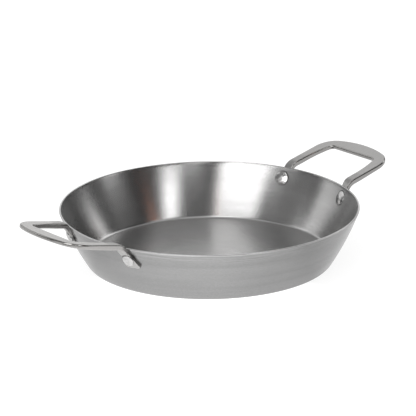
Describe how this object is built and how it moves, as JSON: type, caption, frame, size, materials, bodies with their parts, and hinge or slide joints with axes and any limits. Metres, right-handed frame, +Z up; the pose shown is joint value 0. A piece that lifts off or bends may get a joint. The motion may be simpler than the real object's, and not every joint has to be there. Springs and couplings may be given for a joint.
{
  "type": "two-handled frying pan",
  "caption": "Round shallow steel pan with a flat floor, a flared wall and a riveted loop handle on each side.",
  "frame": {"origin": "centre of the flat underside of the base, on the pan's axis", "axes": "+X along the line through both handles, +Y square to it across the pan, +Z up out of the bowl along the pan's axis"},
  "size_m": [0.4278, 0.3002, 0.0747],
  "materials": {
    "pan_steel": "fine brushing around the axis, satin",
    "handle_steel": "satin faces, polished rounded edges",
    "rivet_steel": "bright, slightly hammered"
  },
  "bodies": {
    "root": {"pan_body": "pan_steel", "handle_right": "handle_steel", "handle_left": "handle_steel", "rivet_right_back": "rivet_steel", "rivet_right_front": "rivet_steel", "rivet_left_front": "rivet_steel", "rivet_left_back": "rivet_steel"}
  },
  "joints": []
}
